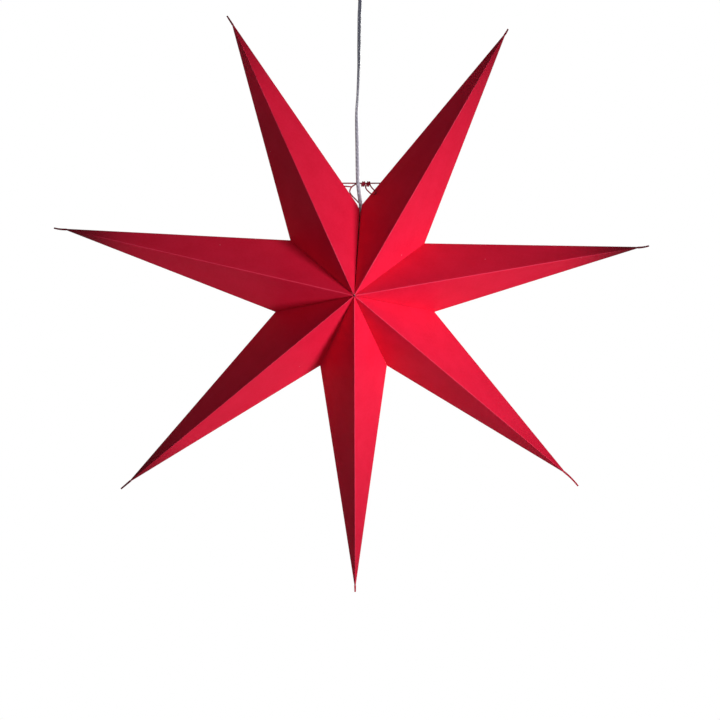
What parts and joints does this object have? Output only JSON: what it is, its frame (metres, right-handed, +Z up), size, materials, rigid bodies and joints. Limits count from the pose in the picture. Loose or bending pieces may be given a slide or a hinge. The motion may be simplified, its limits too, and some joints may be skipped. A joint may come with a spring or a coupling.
{
  "type": "paper star lantern",
  "caption": "Hanging star lantern of folded red card, closed by a wire clip round a clear flat cord with a ceiling cup, and a small screw lamp inside.",
  "frame": {"origin": "centre of the ceiling plate's top face, which lies against the ceiling", "axes": "+Z up, -Y towards the viewer, +X to the viewer's right; the star's face lies in the X-Z plane"},
  "size_m": [0.5942, 0.1692, 0.6801],
  "materials": {
    "card": "matte",
    "lacquered_wire": "gloss",
    "flex": "gloss",
    "white_plastic": "satin",
    "ivory_plastic": "matte",
    "zinc_steel": "satin",
    "brass": "satin",
    "nickel_brass": "satin",
    "lamp_glass": "gloss",
    "black_glass": "gloss",
    "brown_core": "satin",
    "blue_core": "satin"
  },
  "bodies": {
    "ceiling": {"ceiling_plate": "zinc_steel", "ceiling_cup": "white_plastic", "cup_screw_left": "zinc_steel", "cup_screw_right": "zinc_steel", "outlet_body": "white_plastic", "outlet_nut": "white_plastic", "cord_tail": "flex", "cord_stop": "white_plastic", "tail_core_live": "brown_core", "tail_core_neutral": "blue_core", "terminal_block": "ivory_plastic", "terminal_screw_live": "brass", "terminal_screw_neutral": "brass"},
    "swivel": {"swivel_ball": "white_plastic"},
    "cord_drop": {"cord": "flex"},
    "holder": {"holder_cap": "white_plastic", "grip_screw": "white_plastic", "holder_skirt": "white_plastic", "holder_insert": "ivory_plastic", "thread_shell": "brass", "centre_contact": "brass", "holder_screw_live": "brass", "holder_screw_neutral": "brass", "holder_core_live": "brown_core", "holder_core_neutral": "blue_core", "hanger_wire": "lacquered_wire", "point_5": "card"},
    "lamp": {"lamp_glass": "lamp_glass", "lamp_cap": "nickel_brass", "lamp_insulator": "black_glass", "lamp_contact": "zinc_steel", "lamp_stem": "lamp_glass", "filament": "zinc_steel"},
    "hook": {"closing_hook": "lacquered_wire"},
    "leaf_1": {"point_1": "card"},
    "leaf_2": {"point_2": "card"},
    "leaf_3": {"point_3": "card"},
    "leaf_4": {"point_4": "card"},
    "leaf_6": {"point_6": "card"},
    "leaf_7": {"point_7": "card"}
  },
  "joints": [
    {"name": "cord_swing_front", "type": "hinge", "parent": "ceiling", "child": "swivel", "pos_m": [0, 0, -0.0515], "axis": [1, 0, 0], "range_deg": [-20, 20]},
    {"name": "cord_swing_side", "type": "hinge", "parent": "swivel", "child": "cord_drop", "pos_m": [0, 0, -0.0515], "axis": [0, 1, 0], "range_deg": [-20, 20]},
    {"name": "lantern_twist", "type": "hinge", "parent": "cord_drop", "child": "holder", "pos_m": [0.0025, 0, -0.3072], "axis": [0, 0, 1], "range_deg": [-180, 180], "deforming": ["cord"]},
    {"name": "lamp_out", "type": "slide", "parent": "holder", "child": "lamp", "axis": [0, 0, 1], "range_m": [-0.027, 0]},
    {"name": "hook_release", "type": "hinge", "parent": "holder", "child": "hook", "pos_m": [0.012, 0.0031, -0.26897], "axis": [1, 0, 0], "range_deg": [-100, 0]},
    {"name": "star_fold", "type": "hinge", "parent": "holder", "child": "leaf_1", "pos_m": [-0.0049, 0, -0.3765], "axis": [0, -1, 0], "range_deg": [0, 147], "deforming": ["point_1", "point_5"]},
    {"name": "fold_point_7", "type": "hinge", "parent": "holder", "child": "leaf_7", "pos_m": [-0.0049, 0, -0.3765], "axis": [0, -1, 0], "range_deg": [0, 97.5], "deforming": ["point_7"]},
    {"name": "fold_point_6", "type": "hinge", "parent": "holder", "child": "leaf_6", "pos_m": [-0.0049, 0, -0.3765], "axis": [0, -1, 0], "range_deg": [0, 48], "deforming": ["point_6"]},
    {"name": "fold_point_2", "type": "hinge", "parent": "holder", "child": "leaf_2", "pos_m": [-0.0049, 0, -0.3765], "axis": [0, -1, 0], "range_deg": [-142.1, 0], "deforming": ["point_2"]},
    {"name": "fold_point_3", "type": "hinge", "parent": "holder", "child": "leaf_3", "pos_m": [-0.0049, 0, -0.3765], "axis": [0, -1, 0], "range_deg": [-94.2, 0], "deforming": ["point_3"]},
    {"name": "fold_point_4", "type": "hinge", "parent": "holder", "child": "leaf_4", "pos_m": [-0.0049, 0, -0.3765], "axis": [0, -1, 0], "range_deg": [-47.3, 0], "deforming": ["point_4"]}
  ],
  "couplings": [
    {"joint": "fold_point_7", "follows": "star_fold", "ratio": 0.6565},
    {"joint": "fold_point_6", "follows": "star_fold", "ratio": 0.3197},
    {"joint": "fold_point_2", "follows": "star_fold", "ratio": -0.9599},
    {"joint": "fold_point_3", "follows": "star_fold", "ratio": -0.634},
    {"joint": "fold_point_4", "follows": "star_fold", "ratio": -0.315}
  ]
}
